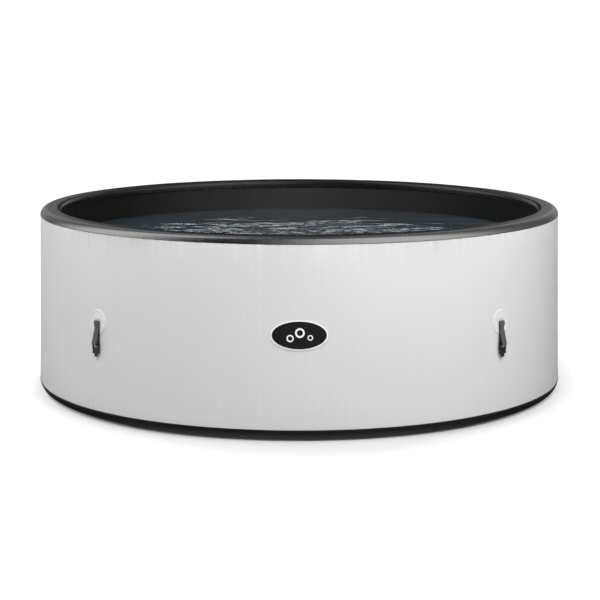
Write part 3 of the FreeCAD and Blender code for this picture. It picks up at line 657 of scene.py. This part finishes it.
# ---- Inflation valve -------------------------------------------------------------------------------------
def valve_spring():
    """Coil spring of the valve, wound from the hub end out towards the plunger."""
    rows, around = 260, 12
    share = np.linspace(0, 1, rows)[:, None]
    turned = 2 * np.pi * SPRING_TURNS * share
    a = np.arange(around) * 2 * np.pi / around
    reach = SPRING_R + SPRING_WIRE_R * np.cos(a)
    middle = SPRING_START + SPRING_WIRE_R + (SPRING_LENGTH - 2 * SPRING_WIRE_R) * share
    out = middle + SPRING_WIRE_R * np.sin(a)
    points = np.stack([out, reach * np.cos(turned), VALVE_Z + reach * np.sin(turned)], -1).reshape(-1, 3)
    faces = grid_faces(rows, around, False, True)[0].tolist()
    faces += [list(range(around)), list(range((rows - 1) * around, rows * around))[::-1]]
    piece = mesh_piece("spring", points, faces, "spring_steel")
    turn(piece.data, VALVE_ANGLE)
    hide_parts("valve_spring")
    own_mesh(piece)


# ---- CAD nodes that stay ----------------------------------------------------------------------------------
def dress_nodes():
    """Gives every CAD node the finish of its slot."""
    slots = {part["node"]: part["material_slot"] for part in frame["record"]["subparts"]}
    for name, node in frame["nodes"].items():
        node.data.materials.clear()
        node.data.materials.append(MATERIALS[slots[name]])


# ---- Studio -----------------------------------------------------------------------------------------------
CAMERA_PLACE = (0, -6.840, 1.435)
CAMERA_LENS = 107.74         # millimetres, on a sensor 36 mm wide
CAMERA_SHIFT = (0.0012, -0.4953)
# Degrees are counted from the front, to the right.
STUDIO_SKY = 0.146           # soft light on everything, from all round
SOFTBOXES = ((-100, 35.5), (-40, 42.5), (20, 36.0), (50, 43.5))   # (degrees, watts)
OVERHEAD = 45.0              # watts
REFLECTED = (                # what shiny surfaces see round them: (degrees, brightness)
    (-180, 0.03), (-174.5, 0.04), (-170, 0.45), (-152, 0.40), (-130, 0.35), (-105, 1.80), (-75, 1.60),
    (-50, 0.25), (-26, 0.03), (-10, 0.35), (15, 1.45), (47, 2.00), (75, 1.60), (95, 0.60), (130, 0.22),
    (152, 0.36), (170, 0.50), (174.5, 0.04), (180, 0.03))
BRIGHTEST = 2.0


def floor():
    """Pale floor, darker only in the soft shadow round the tub's foot. To the camera it glows with painted
    light that grows away from the tub, so that shadow is partly painted shade.
    """
    reach = 60
    corners = [(-reach, -reach, 0), (reach, -reach, 0), (reach, reach, 0), (-reach, reach, 0)]
    mesh = bpy.data.meshes.new("floor")
    mesh.from_pydata(corners, [], [(0, 1, 2, 3)])
    finish = Finish("floor_paint", Roughness=0.9, Specular_IOR_Level=0.0)
    mottle = finish.noise(finish.place(), 3)
    paint = finish.mix(mottle, grey(0.62), grey(0.60))
    to_camera = finish.node("LightPath").outputs["Is Camera Ray"]
    # Painted light: to the camera the floor glows more the farther it is from the tub, which paints the fade
    # of the shadow round the foot.
    lift = finish.share(finish.distance((1.5, 1, 0)), 1.13, 2.04, 0.045)
    finish.set(Base_Color=finish.mix(to_camera, grey(0.50), paint), Emission_Color=grey(1.0),
               Emission_Strength=finish.maths("MULTIPLY", to_camera, lift))
    mesh.materials.append(finish.material)
    plane = bpy.data.objects.new("floor", mesh)
    plane.location.z = -0.0005
    plane.visible_glossy = False
    bpy.context.scene.collection.objects.link(plane)


def backdrop():
    """White to the camera, even to matt surfaces. Shiny ones see a ring of brightness over a pale ground."""
    world = bpy.data.worlds.new("studio")
    bpy.context.scene.world = world
    world.use_nodes = True
    world.cycles.sampling_method = "NONE"
    tree = world.node_tree
    tree.nodes.clear()

    def node(kind, **inputs):
        made = tree.nodes.new("ShaderNode" + kind)
        for key, value in inputs.items():
            socket = made.inputs[int(key[1:])]
            if isinstance(value, bpy.types.NodeSocket):
                tree.links.new(value, socket)
            else:
                socket.default_value = value
        return made

    rays = tree.nodes.new("ShaderNodeLightPath").outputs
    split = node("SeparateXYZ", _0=tree.nodes.new("ShaderNodeTexCoord").outputs["Generated"]).outputs
    front = node("Math", _0=split["Y"], _1=-1.0)
    front.operation = "MULTIPLY"
    azimuth = node("Math", _0=split["X"], _1=front.outputs[0])
    azimuth.operation = "ARCTAN2"
    turn_share = node("MapRange", _0=azimuth.outputs[0], _1=-math.pi, _2=math.pi)
    ring = node("ValToRGB", _0=turn_share.outputs[0])
    ring.color_ramp.interpolation = "CARDINAL"
    stops = ring.color_ramp.elements
    while len(stops) < len(REFLECTED):
        stops.new(0.5)
    for stop, (degrees, level) in zip(stops, REFLECTED):
        stop.position = (degrees + 180) / 360
        stop.color = grey(level / BRIGHTEST)
    above = node("MapRange", _0=split["Z"], _1=-0.34, _2=-0.16, _3=0.0, _4=BRIGHTEST)
    below = node("MapRange", _0=split["Z"], _1=0.94, _2=1.0, _3=1.0, _4=0.0)
    band = node("Math", _0=above.outputs[0], _1=below.outputs[0])
    band.operation = "MULTIPLY"
    ground = node("MapRange", _0=split["Z"], _1=-1.00, _2=-0.66, _3=0.8, _4=0.0)
    walls = node("Background", _0=ring.outputs["Color"], _1=band.outputs[0]).outputs[0]
    paving = node("Background", _0=grey(1.0), _1=ground.outputs[0]).outputs[0]
    shiny = node("AddShader", _0=walls, _1=paving).outputs[0]
    sky = node("Background", _0=grey(1.0), _1=STUDIO_SKY).outputs[0]
    seen = node("Background", _0=grey(1.0), _1=1.0).outputs[0]
    lit = node("MixShader", _0=rays["Is Diffuse Ray"], _1=shiny, _2=sky).outputs[0]
    both = node("MixShader", _0=rays["Is Camera Ray"], _1=lit, _2=seen).outputs[0]
    node("OutputWorld", _0=both)


def softbox(name, degrees, distance, height, size, power):
    """Square light at a place round the tub, in degrees to the right of the front, aimed at the tub."""
    a = math.radians(degrees)
    light = bpy.data.lights.new(name, "AREA")
    light.size, light.energy = size, power
    lamp = bpy.data.objects.new(name, light)
    lamp.location = (distance * math.sin(a), -distance * math.cos(a), height)
    lamp.rotation_euler = (Vector((0, 0, 0.4)) - lamp.location).to_track_quat("-Z", "Y").to_euler()
    lamp.visible_glossy = False
    bpy.context.scene.collection.objects.link(lamp)


def bank(name, place, target, width, height, spread, power, receiver):
    """Bank of light that only one piece sees."""
    light = bpy.data.lights.new(name, "AREA")
    light.shape, light.size, light.size_y = "RECTANGLE", width, height
    light.spread, light.energy = math.radians(spread), power
    lamp = bpy.data.objects.new(name, light)
    lamp.location = place
    lamp.rotation_euler = (Vector(target) - lamp.location).to_track_quat("-Z", "Y").to_euler()
    lit = bpy.data.collections.new("lit_by_" + name)
    lit.objects.link(bpy.data.objects[receiver])
    lamp.light_linking.receiver_collection = lit
    bpy.context.scene.collection.objects.link(lamp)


def lights():
    """Softboxes for all, a bank for the water's pale ripples, and one to lift the far side of the liner."""
    for degrees, power in SOFTBOXES:
        softbox("softbox_%d" % degrees, degrees, 2.6, 2.3, 1.2, power)
    softbox("overhead", 0, 0.01, 3.2, 2.0, OVERHEAD)
    bank("glints", (1.2, 6.0, 2.75), (0, 0, 0.5), 9.0, 0.32, 180, 29, "water")
    bank("liner_light", (0, -2.6, 2.3), (0, 0.9, 0.6), 1.3, 0.6, 9, 5, "liner")


def camera():
    """At the front, level, with a rising-front shift that keeps uprights parallel. The shift belongs to this
    place alone: it fades to nothing as the camera leaves it."""
    scene = bpy.context.scene
    data = bpy.data.cameras.new("camera")
    data.lens, data.sensor_width = CAMERA_LENS, 36
    data.shift_x = CAMERA_SHIFT[0]
    data.clip_start, data.clip_end = 0.1, 200
    eye = bpy.data.objects.new("camera", data)
    eye.location = CAMERA_PLACE
    eye.rotation_euler = (math.radians(90), 0, 0)
    station = bpy.data.objects.new("camera_station", None)
    station.location = CAMERA_PLACE
    for thing in (eye, station):
        scene.collection.objects.link(thing)
    scene.camera = eye
    curve = data.driver_add("shift_y")
    curve.driver.type = "SUM"
    away = curve.driver.variables.new()
    away.type = "LOC_DIFF"
    away.targets[0].id, away.targets[1].id = eye, station
    for modifier in list(curve.modifiers):
        curve.modifiers.remove(modifier)
    curve.keyframe_points.insert(0.0, CAMERA_SHIFT[1])
    curve.keyframe_points.insert(0.05, 0.0)
    for key in curve.keyframe_points:
        key.interpolation = "LINEAR"


outer_wall()
rim()
base()
liner()
water()
for clip_place, clip_angle in CLIP_ANGLES.items():
    webbing(clip_place, clip_angle)
    stitches(clip_place, clip_angle)
valve_spring()
dress_nodes()
floor()
backdrop()
lights()
camera()
bpy.context.scene.view_settings.view_transform = "Standard"
